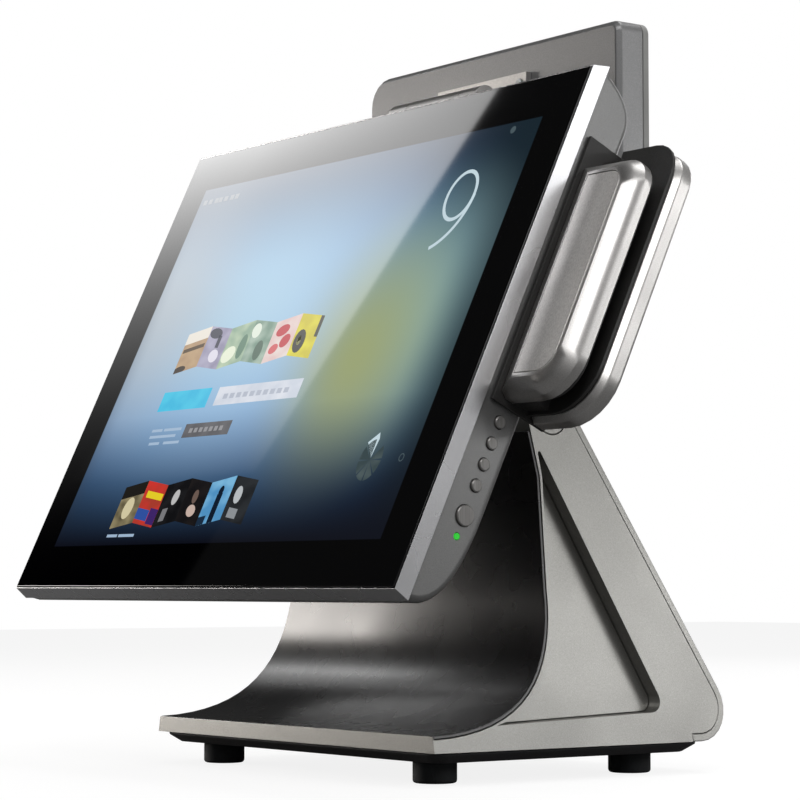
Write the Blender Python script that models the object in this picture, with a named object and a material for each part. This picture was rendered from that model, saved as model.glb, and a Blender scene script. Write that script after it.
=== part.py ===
"""A counter-top point-of-sale touch terminal on a tilting stand.

Metres, +Z up. The cashier sits on the -Y side and +X is the cashier's right.
The origin is on the counter, under the middle of the whole object's box.
"""
import math

import bmesh
import bpy
from mathutils import Matrix, Vector

# ---- driving dimensions -------------------------------------------------
MM = 0.001
GAP = 0.3 * MM                      # between pieces that touch
ARC = 8                             # segments in a quarter turn
ORIGIN_SHIFT = (-22.25 * MM, -126.33 * MM, 0.0)

# stand, measured from its middle plane and from the screen's lower edge
FOOT_RADIUS = 11 * MM
FOOT_HEIGHT = 11 * MM
FOOT_X = 94.7 * MM
FOOT_Y = (84.9 * MM, 211.2 * MM)
PLATE_TOP = 16 * MM                 # the bottom plate lies on the feet
BODY_LOW = 16.3 * MM                # the shell stands on the bottom plate
LIP_TOP = 24.4 * MM                 # the bright lip along the front
BODY_FRONT = 61.6 * MM
BODY_HALF_WIDTH = 124 * MM          # at WIDTH_HEIGHT, less above it
WIDTH_HEIGHT = 22 * MM
SIDE_LEAN = 0.177                   # the sides lean in by this much a metre
WALL = 12 * MM                      # depth of the side frames
COVER = 1.8 * MM                    # sheet of the front cover
REAR_COVER = 4 * MM                 # depth of the rear cover's edge
RECESS = 8.5 * MM                   # the side panels lie this deep
RECESS_LOW = 28.4 * MM
RECESS_TOP = (146.8 * MM, 168 * MM, 1 * MM)
RECESS_CORNER = (212.2 * MM, 32.2 * MM, 6 * MM)
LEG_ANGLE = math.radians(28.2)      # of the leg's rear edge, from vertical
LEG_RADIUS = 15.3 * MM              # round the hinge
REAR_CORNER = 18 * MM               # radius of the rear lower corner
SWEEP = ((62.0, 24.7), (118, 26), (140, 52), (140.4, 95))   # mm, y and z
SWEEP_TOP = (144.7, 151)
SHOULDER_TOP = (142 * MM, 174 * MM)     # the cover's shoulders beside the neck

# head tilt hinge
HINGE_Y = 158 * MM
HINGE_Z = 183 * MM
SHAFT_RADIUS = 4 * MM
CAP_RADIUS = 10.6 * MM
EAR_OUT = 61 * MM                   # the head bracket's ears, from the middle plane
EAR = 3 * MM

# screen head, in panel terms: across, d behind the glass, s up from its edge
SCREEN_LEAN = math.radians(25.335)
PANEL_Z = 95.7 * MM                 # height of the glass's lower edge
GLASS_WIDTH = 351 * MM
GLASS_HEIGHT = 276 * MM
GLASS = 3 * MM
BEZEL_HALF = 177.5 * MM
BEZEL_LOW = -3 * MM
BEZEL_HIGH = 281 * MM
BEZEL_DEPTH = 9.2 * MM
HOUSING_HALF = 175.5 * MM
HOUSING_FRONT = 9.5 * MM
HOUSING_DEPTH = 34.4 * MM
SHELL = 2.4 * MM

# side buttons, on the head's right side
BUTTON_D = 22.8 * MM
MENU_BUTTON_S = (61.8 * MM, 72.7 * MM, 83.6 * MM, 94.6 * MM)
MENU_BUTTON_RADIUS = 3 * MM
POWER_BUTTON_S = 46.5 * MM
POWER_BUTTON_RADIUS = 5 * MM
LED_S = 36 * MM
LED_RADIUS = 1.5 * MM

# card reader, on the head's right side
READER_OUT = 222 * MM
READER_IN = 178 * MM
READER_FRONT = 12.5 * MM
SLOT_FRONT = 26 * MM
SLOT_REAR = 34.3 * MM
SLOT_FLOOR = 192 * MM
READER_REAR = 47.4 * MM

# customer display, upright behind the head
DISPLAY_WIDTH = 220 * MM
DISPLAY_TOP = 389.2 * MM
DISPLAY_HEIGHT = 148 * MM
DISPLAY_BACK = 193.3 * MM
DISPLAY_SEAM = 210.4 * MM
DISPLAY_FRONT = 214.7 * MM
DISPLAY_CORNERS = (8 * MM, 8 * MM, 6 * MM, 16 * MM)      # from the lower left, anticlockwise
BARREL_Y = 162 * MM
BARREL_Z = 354 * MM
BARREL_RADIUS = 7.5 * MM
PIN_RADIUS = 3 * MM


# ---- helpers -------------------------------------------------------------
def clear_scene():
    for item in list(bpy.data.objects):
        bpy.data.objects.remove(item, do_unlink=True)


def finish(name, colour, roughness, metallic):
    """A Principled material; colour is linear red, green and blue."""
    found = bpy.data.materials.get(name)
    if found:
        return found
    made = bpy.data.materials.new(name)
    made.use_nodes = True
    shader = made.node_tree.nodes["Principled BSDF"]
    shader.inputs["Base Color"].default_value = (*colour, 1)
    shader.inputs["Roughness"].default_value = roughness
    shader.inputs["Metallic"].default_value = metallic
    return made


def empty(name, parent, location, turn=(0, 0, 0)):
    made = bpy.data.objects.new(name, None)
    bpy.context.collection.objects.link(made)
    made.parent = parent
    made.location = location
    made.rotation_euler = turn
    return made


def place(name, bm, material, parent, location=(0, 0, 0), turn=(0, 0, 0), smooth=True):
    """Turn a bmesh into a named object with faces pointing out."""
    bmesh.ops.recalc_face_normals(bm, faces=bm.faces)
    mesh = bpy.data.meshes.new(name)
    bm.to_mesh(mesh)
    bm.free()
    if smooth:
        mesh.shade_smooth()
        mesh.set_sharp_from_angle(angle=math.radians(32))
    made = bpy.data.objects.new(name, mesh)
    made.data.materials.append(material)
    bpy.context.collection.objects.link(made)
    made.parent = parent
    made.location = location
    made.rotation_euler = turn
    return made


def boolean(target, tool, operation="DIFFERENCE"):
    """Cut or join with a helper object that is hidden afterwards."""
    step = target.modifiers.new(tool.name, "BOOLEAN")
    step.operation = operation
    step.solver = "EXACT"
    step.object = tool
    tool.hide_render = True
    tool.display_type = "WIRE"
    tool.hide_viewport = True


def loft(loops, closed=False):
    """Join loops of equal length into a solid, or into a ring if closed."""
    bm = bmesh.new()
    rows = [[bm.verts.new(point) for point in loop] for loop in loops]
    pairs = list(zip(rows, rows[1:]))
    if closed:
        pairs.append((rows[-1], rows[0]))
    for low, high in pairs:
        for i in range(len(low)):
            j = (i + 1) % len(low)
            bm.faces.new((low[i], low[j], high[j], high[i]))
    if not closed:
        bm.faces.new(rows[0])
        bm.faces.new(rows[-1])
    return bm


def block(low, high):
    corners = [(low[0], low[1]), (high[0], low[1]), (high[0], high[1]), (low[0], high[1])]
    return loft([[(x, y, z) for x, y in corners] for z in (low[2], high[2])])


def turned(profile, steps=4 * ARC):
    """A solid of revolution about X; profile is (x, radius) pairs."""
    loops = []
    for x, radius in profile:
        ring = [2 * math.pi * k / steps for k in range(steps)]
        loops.append([(x, radius * math.cos(a), radius * math.sin(a)) for a in ring])
    return loft(loops)


def tube(x_low, x_high, bore, radius):
    """A ring about X."""
    steps = 4 * ARC
    loops = []
    for x, r in ((x_low, bore), (x_low, radius), (x_high, radius), (x_high, bore)):
        ring = [2 * math.pi * k / steps for k in range(steps)]
        loops.append([(x, r * math.cos(a), r * math.sin(a)) for a in ring])
    return loft(loops, closed=True)


def rounded(corners, segments=ARC):
    """An outline from (a, b, radius) corners; a radius of 0 stays sharp."""
    outline = []
    count = len(corners)
    for k, (a, b, radius) in enumerate(corners):
        here = Vector((a, b))
        if radius == 0:
            outline.append(here)
            continue
        before = (Vector(corners[k - 1][:2]) - here).normalized()
        after = (Vector(corners[(k + 1) % count][:2]) - here).normalized()
        half = before.angle(after) / 2
        centre = here + (before + after).normalized() * radius / math.sin(half)
        start = here + before * radius / math.tan(half) - centre
        stop = here + after * radius / math.tan(half) - centre
        turn = math.copysign(math.pi - 2 * half, start.cross(stop))
        for i in range(segments + 1):
            outline.append(centre + Matrix.Rotation(turn * i / segments, 2) @ start)
    return outline


def bezier(points, steps=2 * ARC):
    """Points along a cubic curve given in mm."""
    found = []
    for k in range(steps + 1):
        t = k / steps
        weights = ((1 - t) ** 3, 3 * t * (1 - t) ** 2, 3 * t * t * (1 - t), t ** 3)
        found.append(Vector([sum(w * p[i] for w, p in zip(weights, points)) for i in (0, 1)]) * MM)
    return found


def offset(path, amount):
    """Move an open path to the right of its own direction."""
    slopes = [after - before for before, after in zip(path, path[1:])]
    slopes.append(slopes[-1])
    moved = []
    for point, slope in zip(path, slopes):
        moved.append(point + Vector((slope.y, -slope.x)).normalized() * amount)
    return moved


def across(outline, low, high):
    """Extrude a (y, z) outline along X."""
    return loft([[(x, a, b) for a, b in outline] for x in (low, high)])


# ---- stand ---------------------------------------------------------------
def half_width(z):
    return BODY_HALF_WIDTH - SIDE_LEAN * (z - WIDTH_HEIGHT)


def full_width(outline, depth):
    """Extrude a (y, z) outline between the two leaning side faces."""
    loops = []
    for side in (-1, 1):
        loops.append([(side * (half_width(z) - depth), y, z) for y, z in outline])
    return loft(loops)


def side_slab(outline, side, outer, inner):
    """A (y, z) outline as a slab from outer to inner depth behind one side face."""
    loops = []
    for depth in (outer, inner):
        loops.append([(side * (half_width(z) - depth), y, z) for y, z in outline])
    return loft(loops)


def front_sweep(back):
    """The front cover's curve from the lip up to the hinge, moved back."""
    return offset(bezier(SWEEP) + [Vector(SWEEP_TOP) * MM], back)


def leg_line(inset):
    """Outward normal of the leg's rear edge, its downward run, and a point on it."""
    normal = Vector((math.cos(LEG_ANGLE), math.sin(LEG_ANGLE)))
    run = Vector((normal.y, -normal.x))
    return normal, run, Vector((HINGE_Y, HINGE_Z)) + normal * (LEG_RADIUS - inset)


def rear_edge(inset, end_y):
    """The rear edge from the hinge down round the lower corner to end_y."""
    normal, run, top = leg_line(inset)
    low = BODY_LOW + inset
    corner = top + run * ((top.y - low) / -run.y)
    ends = [(*top, 0), (*corner, REAR_CORNER - inset), (end_y, low, 0)]
    return rounded(ends)


def hinge_arc(radius, start, stop):
    angles = [start + (stop - start) * k / ARC for k in range(ARC + 1)]
    hinge = Vector((HINGE_Y, HINGE_Z))
    return [hinge + Vector((math.cos(a), math.sin(a))) * radius for a in angles]


def shell_outline():
    rear = rear_edge(REAR_COVER + GAP, BODY_FRONT)[:-1]
    arc = hinge_arc(LEG_RADIUS, math.radians(172), LEG_ANGLE)
    low = [Vector((228 * MM, BODY_LOW + REAR_COVER + GAP)), Vector((228 * MM, BODY_LOW))]
    front = [Vector((BODY_FRONT, BODY_LOW)), Vector((BODY_FRONT, LIP_TOP))]
    return front + front_sweep(COVER + GAP) + arc + rear + low


def recess_outline(inset):
    """The triangular opening in each side frame, or the panel that fits it."""
    front = [p for p in front_sweep(COVER + GAP + 1.4 * MM) if p.y > 29 * MM]
    start = Vector((front[0].x - 5 * MM, RECESS_LOW))
    back = rounded([(*front[-1], 0), *(RECESS_TOP, RECESS_CORNER), (*start, 0)])
    return shrink([start] + front + back[1:-1], inset)


def shrink(outline, inset):
    """Move every edge of a closed (y, z) outline towards its inside."""
    moved = []
    count = len(outline)
    for k, point in enumerate(outline):
        before = (point - outline[k - 1]).normalized()
        after = (outline[(k + 1) % count] - point).normalized()
        first = Vector((before.y, -before.x))
        last = Vector((after.y, -after.x))
        moved.append(point + (first + last) * inset / (1 + first.dot(last)))
    return moved


def stand_shell(stand, material):
    """Both side frames and the front lip, moulded as one piece."""
    shell = place("stand_shell", full_width(shell_outline(), 0), material, stand)
    hollow = full_width([
        Vector((y, z)) for y, z in (
            (BODY_FRONT + 9 * MM, 0.0), (300 * MM, 0.0), (300 * MM, 300 * MM),
            (BODY_FRONT + 9 * MM, 300 * MM))], WALL)
    boolean(shell, place("shell_hollow", hollow, material, stand))
    for side, word in ((1, "right"), (-1, "left")):
        opening = side_slab(recess_outline(0), side, -20 * MM, WALL + 5 * MM)
        boolean(shell, place("recess_" + word, opening, material, stand))
        pocket = turned([(-2.4 * MM, CAP_RADIUS + GAP), (9 * MM, CAP_RADIUS + GAP)])
        boolean(shell, cap_place("cap_pocket_" + word, pocket, material, stand, side))


def cap_place(name, bm, material, stand, side):
    """Put a round piece on a side face at the hinge, square to the leaning face."""
    if side < 0:
        bmesh.ops.scale(bm, vec=(-1, 1, 1), verts=bm.verts)
    lean = side * math.atan(SIDE_LEAN)
    at = (side * half_width(HINGE_Z), HINGE_Y, HINGE_Z)
    return place(name, bm, material, stand, at, (0, -lean, 0))


def side_panel(name, side, stand, material):
    outline = recess_outline(GAP)
    place(name, side_slab(outline, side, RECESS, RECESS + 2.6 * MM), material, stand)


def front_cover(stand, material):
    """The glossy sheet that sweeps from the lip up to the hinge, notched for the neck."""
    shoulder = Vector(SHOULDER_TOP)
    outline = front_sweep(0) + [shoulder, shoulder + Vector((COVER, 0))] + front_sweep(COVER)[::-1]
    cover = place("front_cover", full_width(outline, 0.2 * MM), material, stand)
    notch = block((-68 * MM, 130 * MM, SWEEP_TOP[1] * MM), (68 * MM, 160 * MM, 200 * MM))
    boolean(cover, place("cover_notch", notch, material, stand))


def rear_cover(stand, material):
    outer = rear_edge(0, 228.3 * MM)
    inner = rear_edge(REAR_COVER, 228.3 * MM)
    cover = place("rear_cover", full_width(outer + inner[::-1], 0.2 * MM), material, stand)
    notch = block((-66 * MM, 140 * MM, 148 * MM), (66 * MM, 230 * MM, 230 * MM))
    boolean(cover, place("neck_notch", notch, material, stand))


def plan_outline(inset):
    """The bottom plate's outline seen from above."""
    half = half_width(PLATE_TOP) - inset
    front = BODY_FRONT + inset
    rear = 240 * MM - inset
    return rounded([(-half, front, 8 * MM), (half, front, 8 * MM), (half, rear, 12 * MM),
                    (-half, rear, 12 * MM)], 4)


def bottom_plate(stand, material):
    loops = []
    for z, inset in ((FOOT_HEIGHT, 7 * MM), (PLATE_TOP - 1 * MM, 2 * MM), (PLATE_TOP, 2 * MM)):
        loops.append([(x, y, z) for x, y in plan_outline(inset)])
    place("bottom_plate", loft(loops), material, stand)


def feet(stand, material):
    profile = [(0, FOOT_RADIUS - 1 * MM), (1 * MM, FOOT_RADIUS), (FOOT_HEIGHT - GAP, FOOT_RADIUS)]
    places = [(x, y) for y in FOOT_Y for x in (-FOOT_X, FOOT_X)]
    for word, (x, y) in zip(("front_left", "front_right", "rear_left", "rear_right"), places):
        foot = turned(profile, 3 * ARC)
        place("foot_" + word, foot, material, stand, (x, y, 0), (0, -math.pi / 2, 0))


def stand_frame(stand, material):
    """The bent steel frame that carries the hinge down to the bottom plate."""
    depth = WALL + GAP
    hinge = hinge_arc(10.5 * MM, math.radians(180), LEG_ANGLE)
    foot = [Vector((227.5 * MM, 56 * MM)), Vector((227.5 * MM, PLATE_TOP + GAP)),
            Vector((150 * MM, PLATE_TOP + GAP)), Vector((148 * MM, 150 * MM))]
    cheek = hinge + foot
    frame = place("stand_frame", side_slab(cheek, 1, depth, depth + 2.5 * MM), material, stand)
    left = place("left_cheek", side_slab(cheek, -1, depth, depth + 2.5 * MM), material, stand)
    half = half_width(PLATE_TOP) - depth - 1 * MM
    floor = block((-half, 150.5 * MM, PLATE_TOP + GAP), (half, 227.5 * MM, PLATE_TOP + GAP + 2.5 * MM))
    boolean(frame, left, "UNION")
    boolean(frame, place("frame_floor", floor, material, stand), "UNION")
    bore = turned([(-120 * MM, SHAFT_RADIUS + GAP), (120 * MM, SHAFT_RADIUS + GAP)])
    boolean(frame, place("frame_bore", bore, material, stand, (0, HINGE_Y, HINGE_Z)))


def stand_inside(stand, steel, dark):
    low = PLATE_TOP + 2 * GAP + 2.5 * MM
    weight = block((-96 * MM, 153 * MM, low), (96 * MM, 224 * MM, low + 12 * MM))
    place("ballast_plate", weight, steel, stand, smooth=False)
    supply = block((-52 * MM, 152 * MM, low + 12 * MM + GAP), (52 * MM, 210 * MM, low + 46 * MM))
    place("power_supply", supply, dark, stand, smooth=False)


def tilt_hinge(stand, steel, material):
    """Shaft across the legs, a friction cup at each end, and the outer caps."""
    at = (0, HINGE_Y, HINGE_Z)
    place("hinge_shaft", turned([(-82.4 * MM, SHAFT_RADIUS), (82.4 * MM, SHAFT_RADIUS)]), steel, stand, at)
    for side, word in ((1, "right"), (-1, "left")):
        ends = sorted((side * (EAR_OUT + GAP), side * 78.4 * MM))
        cup = tube(*ends, SHAFT_RADIUS + GAP, 10 * MM)
        place("hinge_cup_" + word, cup, steel, stand, at)
        cap = turned([(-2 * MM, CAP_RADIUS), (-0.3 * MM, CAP_RADIUS), (0.1 * MM, CAP_RADIUS - 0.5 * MM)])
        cap_place("hinge_cap_" + word, cap, material, stand, side)


# ---- screen head -----------------------------------------------------------
def to_panel(y, z):
    """A world (y, z) point at rest as (depth, height) on the panel."""
    up = z - PANEL_Z
    lean_cos = math.cos(SCREEN_LEAN)
    lean_sin = math.sin(SCREEN_LEAN)
    return Vector((y * lean_cos - up * lean_sin, y * lean_sin + up * lean_cos))


HINGE = to_panel(HINGE_Y, HINGE_Z)
BARREL = to_panel(BARREL_Y, BARREL_Z)


def touch_glass(panel, material):
    half = GLASS_WIDTH / 2
    glass = block((-half, 0, 0), (half, GLASS, GLASS_HEIGHT))
    place("touch_glass", glass, material, panel, smooth=False)


def front_bezel(panel, material):
    """A mitred frame round the glass, with a ledge that the glass rests on."""
    half = GLASS_WIDTH / 2
    section = (                     # half width, low, high, depth
        (half + GAP, -GAP, GLASS_HEIGHT + GAP, 0.8 * MM),
        (half + 0.8 * MM, -0.8 * MM, GLASS_HEIGHT + 0.9 * MM, 0.5 * MM),
        (BEZEL_HALF, BEZEL_LOW, BEZEL_HIGH, BEZEL_DEPTH),
        (BEZEL_HALF - 5 * MM, BEZEL_LOW + 5 * MM, BEZEL_HIGH - 8 * MM, BEZEL_DEPTH),
        (half - 6 * MM, 6 * MM, GLASS_HEIGHT - 6 * MM, 6 * MM),
        (half - 6 * MM, 6 * MM, GLASS_HEIGHT - 6 * MM, GLASS + GAP),
        (half + GAP, -GAP, GLASS_HEIGHT + GAP, GLASS + GAP))
    loops = []
    for x, low, high, depth in section:
        loops.append([(-x, depth, low), (x, depth, low), (x, depth, high), (-x, depth, high)])
    place("front_bezel", loft(loops, closed=True), material, panel, smooth=False)


def housing_outline(inset, front):
    """The rear housing in side view, from its lower front edge to its upper one."""
    steps = ARC + 2
    low = bezier(((9.5, -2.5), (27, -1), (34.4, 18), (34.4, 54)), steps)
    high = bezier(((34.4, 257), (34.4, 270), (26, 275), (9.5, 280.4)), steps)
    path = offset(low + high, -inset)
    path[0].x = front
    path[-1].x = front
    return path


def housing_block(inset, front, radius):
    """The housing's solid shape with its side edges rounded."""
    steps = 3
    half = HOUSING_HALF - inset
    right = []
    for k in range(steps + 1):
        angle = math.pi / 2 * k / steps
        x = half - radius * (1 - math.cos(angle))
        outline = housing_outline(inset + radius * (1 - math.sin(angle)), front)
        right.append([(x, d, s) for d, s in outline])
    left = [[(-x, d, s) for x, d, s in loop] for loop in right]
    return loft(right + left[::-1])


def rear_housing(panel, material):
    bm = housing_block(0, HOUSING_FRONT, 4 * MM)
    housing = place("rear_housing", bm, material, panel)
    inner = housing_block(SHELL, HOUSING_FRONT - 1 * MM, 2 * MM)
    boolean(housing, place("housing_hollow", inner, material, panel))
    boolean(housing, place("housing_slots", housing_slots(), material, panel))
    for k, height in enumerate(MENU_BUTTON_S):
        side_hole(housing, f"menu_hole_{k}", height, MENU_BUTTON_RADIUS + GAP, material, panel)
    side_hole(housing, "power_hole", POWER_BUTTON_S, POWER_BUTTON_RADIUS + GAP, material, panel)
    side_hole(housing, "led_hole", LED_S, LED_RADIUS + GAP, material, panel)


def side_hole(housing, name, height, radius, material, panel):
    hole = turned([(-8 * MM, radius), (8 * MM, radius)], 2 * ARC)
    boolean(housing, place(name, hole, material, panel, (HOUSING_HALF, BUTTON_D, height)))


def housing_slots():
    """Cooling slots in two groups, and the opening for the connectors."""
    bm = block((-78.3 * MM, 28 * MM, 59.7 * MM), (78.3 * MM, 40 * MM, 84.3 * MM))
    for side in (-1, 1):
        for k in range(8):
            x = side * (62 + 8 * k) * MM
            slot = block((x - 1.5 * MM, 28 * MM, 196 * MM), (x + 1.5 * MM, 40 * MM, 228 * MM))
            mesh = bpy.data.meshes.new("slot")
            slot.to_mesh(mesh)
            slot.free()
            bm.from_mesh(mesh)
            bpy.data.meshes.remove(mesh)
    return bm


def head_inside(panel, steel, dark, green, silver):
    low, high = 12 * MM, 264 * MM
    lcd = block((-163 * MM, GLASS + GAP, low), (163 * MM, 12 * MM, high))
    place("lcd_panel", lcd, dark, panel, smooth=False)
    chassis = place("chassis_plate", block((-160 * MM, 12.3 * MM, low), (160 * MM, 13.8 * MM, high)),
                    steel, panel)
    for k, (x, s) in enumerate(((-140, 100), (10, 100), (-140, 215), (10, 215))):
        post = turned([(0, 3 * MM), (3.4 * MM, 3 * MM)], 2 * ARC)
        at = (x * MM, 13.3 * MM, s * MM)
        boolean(chassis, place(f"post_{k}", post, steel, panel, at, (0, 0, math.pi / 2)), "UNION")
    board = block((-150 * MM, 17 * MM, 92 * MM), (20 * MM, 18.6 * MM, 225 * MM))
    place("main_board", board, green, panel, smooth=False)
    drive = block((60 * MM, 14.1 * MM, 100 * MM), (130 * MM, 21.1 * MM, 200 * MM))
    place("storage_drive", drive, silver, panel, smooth=False)
    place("heat_sink", fins(), silver, panel, smooth=False)
    speaker = block((-140 * MM, 15 * MM, 24 * MM), (-96 * MM, 26 * MM, 48 * MM))
    place("speaker", speaker, dark, panel, smooth=False)
    switches = block((163 * MM, 15 * MM, 40 * MM), (165 * MM, 30 * MM, 102 * MM))
    place("button_board", switches, green, panel, smooth=False)


def fins():
    """A finned block in plan view, drawn up along the panel."""
    count = 9
    pitch = 8 * MM
    left = -118 * MM
    base, root, tip = 18.9 * MM, 21.5 * MM, 30 * MM
    outline = [(left, base)]
    for k in range(count):
        x = left + k * pitch
        outline += [(x, tip), (x + 2 * MM, tip), (x + 2 * MM, root), (x + pitch, root)]
    outline = outline[:-1]
    outline[-1] = (outline[-1][0], base)
    return loft([[(x, y, s) for x, y in outline] for s in (120 * MM, 190 * MM)])


def connectors(panel, steel, dark):
    """The metal connector strip in the back, with the sockets on it."""
    strip = block((-78 * MM, 25 * MM, 60 * MM), (78 * MM, 26.2 * MM, 84 * MM))
    place("connector_strip", strip, steel, panel, smooth=False)
    face = 26.5 * MM
    sockets = (("power_inlet", -68, -54, 14), ("serial_port", -44, -12, 12),
               ("network_port", 0, 16, 14), ("usb_port", 26, 40, 15), ("display_port", 48, 66, 7))
    for name, left, right, height in sockets:
        middle = 72 * MM
        low, up = middle - height / 2 * MM, middle + height / 2 * MM
        body = place(name, block((left * MM, face, low), (right * MM, face + 6 * MM, up)), dark, panel)
        hollow = block(((left + 2) * MM, face + 1.5 * MM, low + 2 * MM),
                       ((right - 2) * MM, face + 8 * MM, up - 2 * MM))
        boolean(body, place(name + "_hollow", hollow, dark, panel))


def side_buttons(panel, metal, lit):
    """Push buttons whose flanges keep them behind the housing's wall."""
    buttons = [("power_button", POWER_BUTTON_S, POWER_BUTTON_RADIUS)]
    for k, height in enumerate(MENU_BUTTON_S):
        buttons.append((f"menu_button_{k + 1}", height, MENU_BUTTON_RADIUS))
    for name, height, radius in buttons:
        wall = -SHELL - GAP
        profile = [(-9.2 * MM, 1.5 * MM), (wall - 1.4 * MM, 1.5 * MM), (wall - 1.4 * MM, radius + 1.2 * MM),
                   (wall, radius + 1.2 * MM), (wall, radius), (0.9 * MM, radius),
                   (1.3 * MM, radius - 0.5 * MM)]
        at = (HOUSING_HALF, BUTTON_D, height)
        place(name, turned(profile, 3 * ARC), metal, panel, at)
    led = turned([(-8 * MM, LED_RADIUS), (0.3 * MM, LED_RADIUS)], 2 * ARC)
    place("status_led", led, lit, panel, (HOUSING_HALF, BUTTON_D, LED_S))


def head_bracket(panel, steel, dark):
    """The steel bracket from the housing's back to the tilt shaft, and its cover."""
    back = HOUSING_DEPTH + GAP
    plate = block((-EAR_OUT, back, 112 * MM), (EAR_OUT, back + EAR, 181 * MM))
    bracket = place("head_bracket", plate, steel, panel)
    turn = [HINGE + Vector((math.cos(a), math.sin(a))) * 13 * MM
            for a in [math.pi * (k / (2 * ARC) - 0.5) for k in range(2 * ARC + 1)]]
    ear = [Vector((back + 1 * MM, 122 * MM))] + turn + [Vector((back + 1 * MM, 171 * MM))]
    for side, word in ((1, "right"), (-1, "left")):
        ends = sorted((side * EAR_OUT, side * (EAR_OUT - EAR)))
        boolean(bracket, place("ear_" + word, across(ear, *ends), steel, panel), "UNION")
    bore = turned([(-90 * MM, SHAFT_RADIUS + GAP), (90 * MM, SHAFT_RADIUS + GAP)])
    boolean(bracket, place("bracket_bore", bore, steel, panel, (0, *HINGE)))
    for k, (x, s) in enumerate(((-50, 117), (50, 117), (-50, 176), (50, 176))):
        screw = turned([(0, 3.5 * MM), (1.6 * MM, 3.5 * MM), (2.2 * MM, 2.6 * MM)], 2 * ARC)
        at = (x * MM, back + EAR + GAP, s * MM)
        place(f"bracket_screw_{k + 1}", screw, steel, panel, at, (0, 0, math.pi / 2))
    neck_cover(panel, dark, back + EAR + GAP)


def neck_cover(panel, material, front):
    loops = []
    half = EAR_OUT - EAR - GAP
    for inset, x in ((0, -half), (0, half), (2 * MM, half), (2 * MM, -half)):
        radius = 12 * MM - inset
        turn = [HINGE + Vector((math.cos(a), math.sin(a))) * radius
                for a in [math.pi * (k / ARC - 0.5) for k in range(ARC + 1)]]
        low = Vector((front + inset, 126 * MM + inset))
        high = Vector((front + inset, 167 * MM - inset))
        loops.append([(x, d, s) for d, s in [low] + turn + [high]])
    place("neck_cover", loft(loops, closed=True), material, panel)


# ---- card reader -----------------------------------------------------------
def reader_loop(left, right, low, high, radius, depth):
    """One outline of a reader plate, round at its two outer corners."""
    lower = radius * 1.3
    outline = rounded([(left, low, 0), (right, low, lower), (right, high, radius), (left, high, 0)], 6)
    return [(x, depth, s) for x, s in outline]


def reader_plate(name, low, high, radius, section, material, panel):
    """Loft a plate from (depth, edge inset, inner edge) rows."""
    loops = []
    for depth, inset, left in section:
        loops.append(reader_loop(left, READER_OUT - inset, low + inset, high - inset,
                                 radius - 0.6 * inset, depth))
    return place(name, loft(loops), material, panel)


def card_reader(panel, silver, brushed, dark, steel):
    inner = READER_IN
    root = SLOT_FRONT - 1.8 * MM
    front = reader_plate("reader_front_shell", 105 * MM, 230 * MM, 16 * MM, (
        (READER_FRONT, 7 * MM, inner + 8 * MM), (READER_FRONT + 3.5 * MM, 2.6 * MM, inner),
        (READER_FRONT + 7 * MM, 0, inner), (root, 0, inner)), silver, panel)
    edge = 9.5 * MM                 # the inset plate stays this far inside the outline
    left = inner + 9 * MM
    pocket = reader_plate("reader_pocket", 105 * MM, 230 * MM, 14 * MM, (
        (READER_FRONT - 2 * MM, edge - GAP, left - GAP), (READER_FRONT + 1 * MM, edge - GAP, left - GAP)),
        silver, panel)
    boolean(front, pocket)
    reader_plate("reader_inset_plate", 105 * MM, 230 * MM, 14 * MM, (
        (READER_FRONT, edge, left), (READER_FRONT + 0.7 * MM, edge, left)), brushed, panel)
    reader_plate("reader_rear_shell", 102 * MM, 245 * MM, 18 * MM, (
        (SLOT_REAR + 2 * MM, 3 * MM, inner), (SLOT_REAR + 5 * MM, 0, inner),
        (READER_REAR - 2 * MM, 0, inner), (READER_REAR, 2 * MM, inner)), silver, panel)
    reader_core(panel, dark)
    head = block((203 * MM, SLOT_FRONT + GAP, 160 * MM), (212 * MM, SLOT_FRONT + 3 * MM, 176 * MM))
    place("reader_head", head, steel, panel, smooth=False)


def reader_core(panel, material):
    """The dark body that holds the reader on the head and lines the card slot."""
    inner = READER_IN - GAP
    low, high = 102 * MM, 244 * MM
    side = block((HOUSING_HALF + GAP, 13 * MM, low), (inner, 47 * MM, high))
    core = place("reader_core", side, material, panel)
    front = reader_plate("front_liner", 105 * MM, 230 * MM, 14 * MM, (
        (SLOT_FRONT - 1.5 * MM, 1.5 * MM, inner - 1 * MM), (SLOT_FRONT, 1.5 * MM, inner - 1 * MM)),
        material, panel)
    rear = reader_plate("rear_liner", 101 * MM, 251 * MM, 20 * MM, (
        (SLOT_REAR, 3 * MM, inner - 1 * MM), (SLOT_REAR + 1.7 * MM, 3 * MM, inner - 1 * MM)),
        material, panel)
    floor = block((inner - 1 * MM, SLOT_FRONT - 1 * MM, low + 4 * MM),
                  (SLOT_FLOOR, SLOT_REAR + 1 * MM, 236 * MM))
    for piece in (front, rear, place("slot_floor", floor, material, panel)):
        boolean(core, piece, "UNION")


# ---- customer display --------------------------------------------------------
def slab_loop(y, inset):
    half = DISPLAY_WIDTH / 2 - inset
    low = DISPLAY_TOP - DISPLAY_HEIGHT + inset
    high = DISPLAY_TOP - inset
    corners = ((-half, low), (half, low), (half, high), (-half, high))
    radii = [max(radius - inset, 2 * MM) for radius in DISPLAY_CORNERS]
    outline = rounded([(x, z, radius) for (x, z), radius in zip(corners, radii)], 5)
    return [(x, y, z) for x, z in outline]


def slab_block(*rows):
    return loft([slab_loop(y, inset) for y, inset in rows])


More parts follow.
